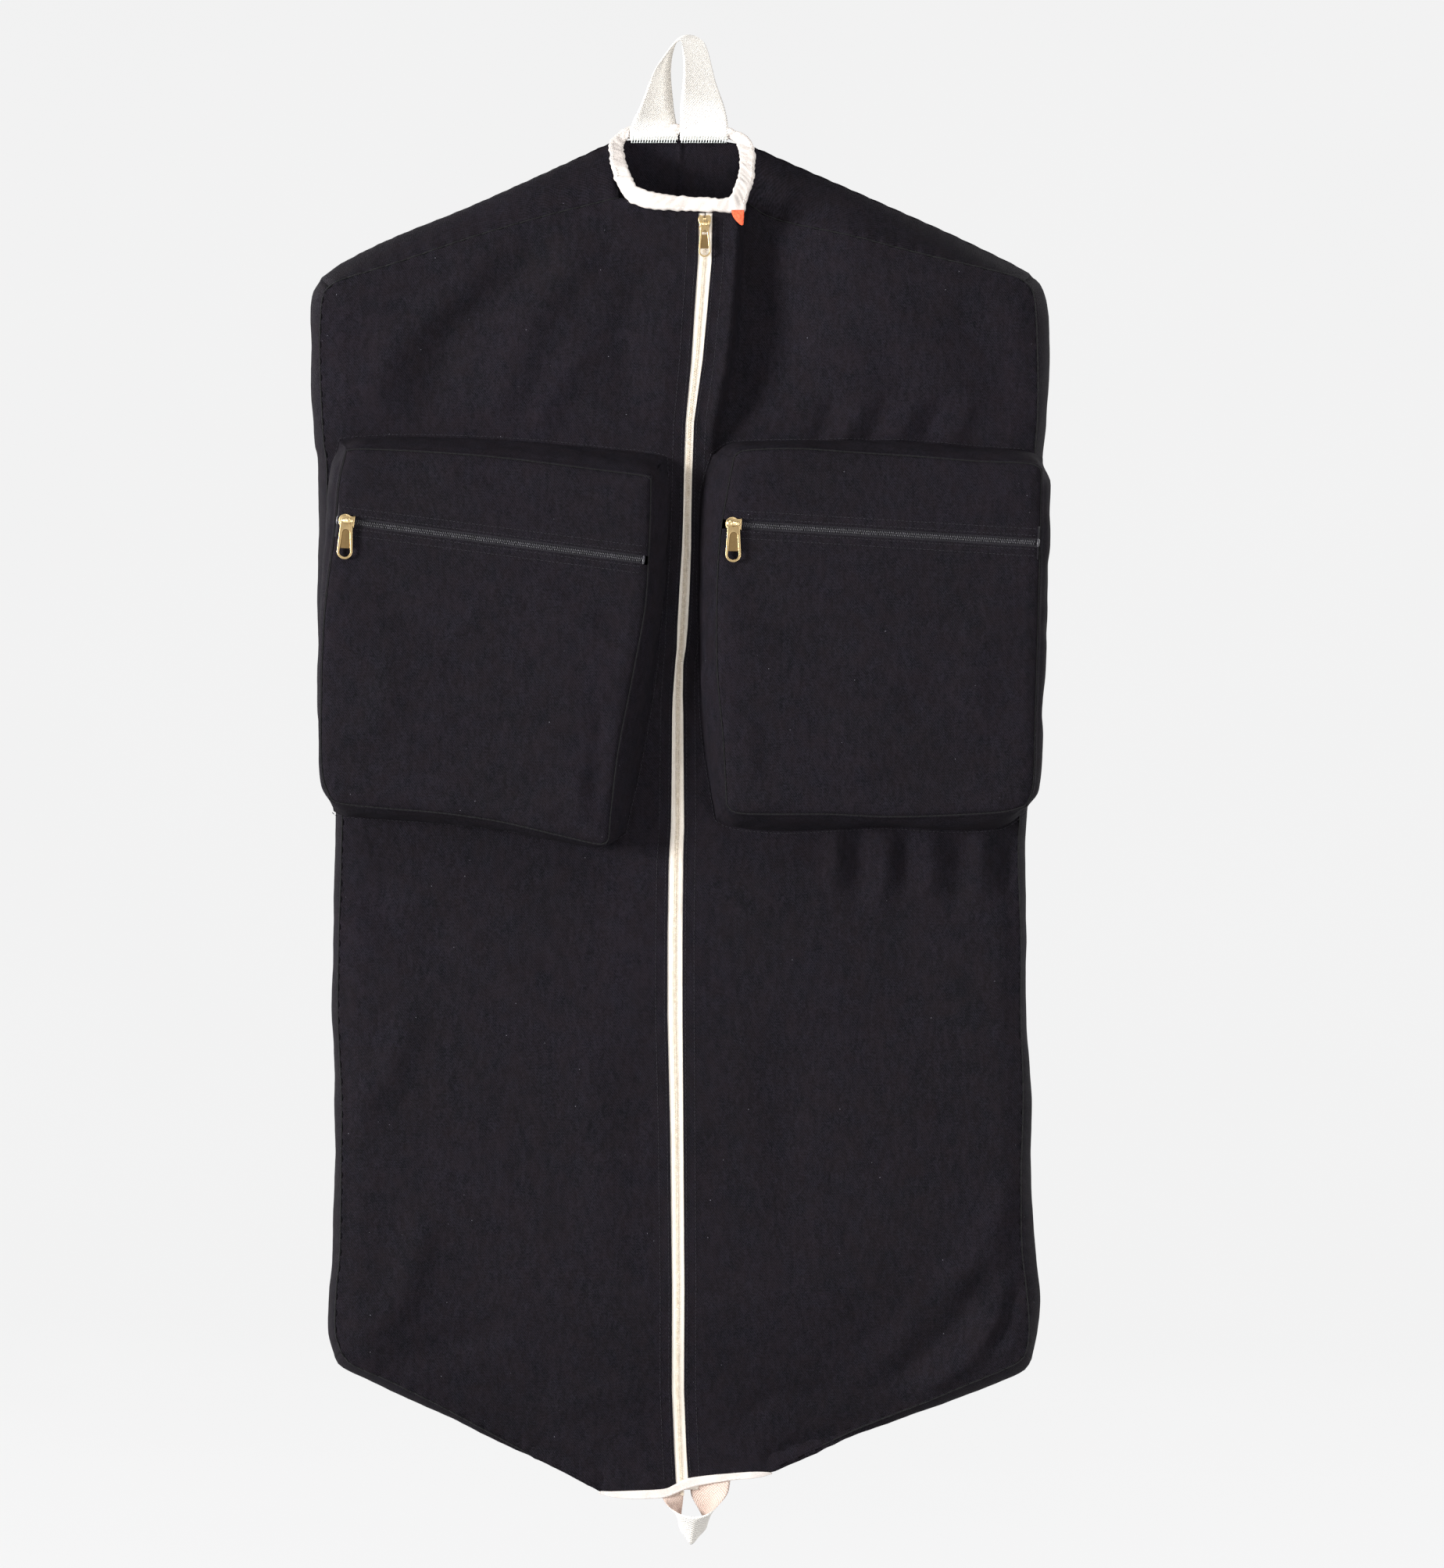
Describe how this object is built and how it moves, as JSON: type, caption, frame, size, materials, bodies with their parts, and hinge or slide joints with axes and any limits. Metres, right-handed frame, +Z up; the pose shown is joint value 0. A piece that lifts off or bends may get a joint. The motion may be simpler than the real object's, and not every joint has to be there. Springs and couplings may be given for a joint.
{
  "type": "garment bag",
  "caption": "Long hanging garment bag: gusseted black canvas shell, full centre zip, boxed zip pockets on the front, webbing loops at neck and base.",
  "frame": {"origin": "inner top of the hanging loop, where a hook carries the bag", "axes": "+X to the right seen from the front, +Y towards the back of the bag, +Z up"},
  "size_m": [0.61, 0.1106, 1.2456],
  "materials": {
    "canvas": "black cotton twill canvas, matt, fine diagonal rib",
    "binding": "natural cotton binding tape, matt, plain weave",
    "webbing": "natural cotton webbing, coarse basket weave",
    "tag": "coral orange woven tag, blank",
    "zip_tape": "natural woven zip tape",
    "zip_coil": "natural nylon coil",
    "pocket_zip_tape": "black woven zip tape",
    "pocket_zip_coil": "black nylon coil",
    "brass": "antique brass, dark patina worn bright on the edges"
  },
  "bodies": {
    "bag_upper": {"back_panel_left_upper": "canvas", "back_panel_right_upper": "canvas", "front_panel_left_upper": "canvas", "front_panel_right_upper": "canvas", "shoulder_gusset_left": "canvas", "shoulder_gusset_right": "canvas", "side_gusset_left_upper": "canvas", "side_gusset_right_upper": "canvas", "neck_binding": "binding", "hanging_loop": "webbing", "neck_tag": "tag", "main_zip_tape_left_upper": "zip_tape", "main_zip_tape_right_upper": "zip_tape", "main_zip_coil_left_upper": "zip_coil", "main_zip_coil_right_upper": "zip_coil", "main_zip_top_stops": "brass", "left_pocket_front_top": "canvas", "left_pocket_front_bottom": "canvas", "left_pocket_gusset": "canvas", "left_pocket_zip_tape_top": "pocket_zip_tape", "left_pocket_zip_tape_bottom": "pocket_zip_tape", "left_pocket_zip_coil_top": "pocket_zip_coil", "left_pocket_zip_coil_bottom": "pocket_zip_coil", "left_pocket_zip_stops": "pocket_zip_coil", "right_pocket_front_top": "canvas", "right_pocket_front_bottom": "canvas", "right_pocket_gusset": "canvas", "right_pocket_zip_tape_top": "pocket_zip_tape", "right_pocket_zip_tape_bottom": "pocket_zip_tape", "right_pocket_zip_coil_top": "pocket_zip_coil", "right_pocket_zip_coil_bottom": "pocket_zip_coil", "right_pocket_zip_stops": "pocket_zip_coil"},
    "bag_lower": {"back_panel_left_lower": "canvas", "back_panel_right_lower": "canvas", "front_panel_left_lower": "canvas", "front_panel_right_lower": "canvas", "side_gusset_left_lower": "canvas", "side_gusset_right_lower": "canvas", "bottom_gusset_left": "canvas", "bottom_gusset_right": "canvas", "bottom_binding": "binding", "carry_loop": "webbing", "main_zip_tape_left_lower": "zip_tape", "main_zip_tape_right_lower": "zip_tape", "main_zip_coil_left_lower": "zip_coil", "main_zip_coil_right_lower": "zip_coil", "main_zip_bottom_stop": "brass"},
    "main_slider": {"main_slider_body": "brass", "main_slider_crown": "brass"},
    "main_puller": {"main_puller": "brass"},
    "left_slider": {"left_slider_body": "brass", "left_slider_crown": "brass"},
    "left_puller": {"left_puller": "brass"},
    "right_slider": {"right_slider_body": "brass", "right_slider_crown": "brass"},
    "right_puller": {"right_puller": "brass"}
  },
  "joints": [
    {"name": "fold", "type": "hinge", "parent": "bag_upper", "child": "bag_lower", "pos_m": [0, 0.016, -0.68], "axis": [1, 0, 0], "range_deg": [0, 175]},
    {"name": "main_zip_slide", "type": "slide", "parent": "bag_upper", "child": "main_slider", "axis": [0.0184, 0, 0.9998], "range_m": [-1.01, 0]},
    {"name": "main_puller_lift", "type": "hinge", "parent": "main_slider", "child": "main_puller", "pos_m": [0.02083, -0.0469, -0.1605], "axis": [-0.9998, 0, 0.0184], "range_deg": [0, 170]},
    {"name": "left_zip_slide", "type": "slide", "parent": "bag_upper", "child": "left_slider", "axis": [0.9916, 0, -0.1295], "range_m": [0, 0.232]},
    {"name": "left_puller_swing", "type": "hinge", "parent": "left_slider", "child": "left_puller", "pos_m": [-0.26805, -0.08365, -0.40558], "axis": [0, 1, 0], "range_deg": [-80, 80]},
    {"name": "right_zip_slide", "type": "slide", "parent": "bag_upper", "child": "right_slider", "axis": [0.9981, 0, -0.0609], "range_m": [0, 0.237]},
    {"name": "right_puller_swing", "type": "hinge", "parent": "right_slider", "child": "right_puller", "pos_m": [0.04449, -0.08365, -0.40797], "axis": [0, 1, 0], "range_deg": [-80, 80]}
  ]
}
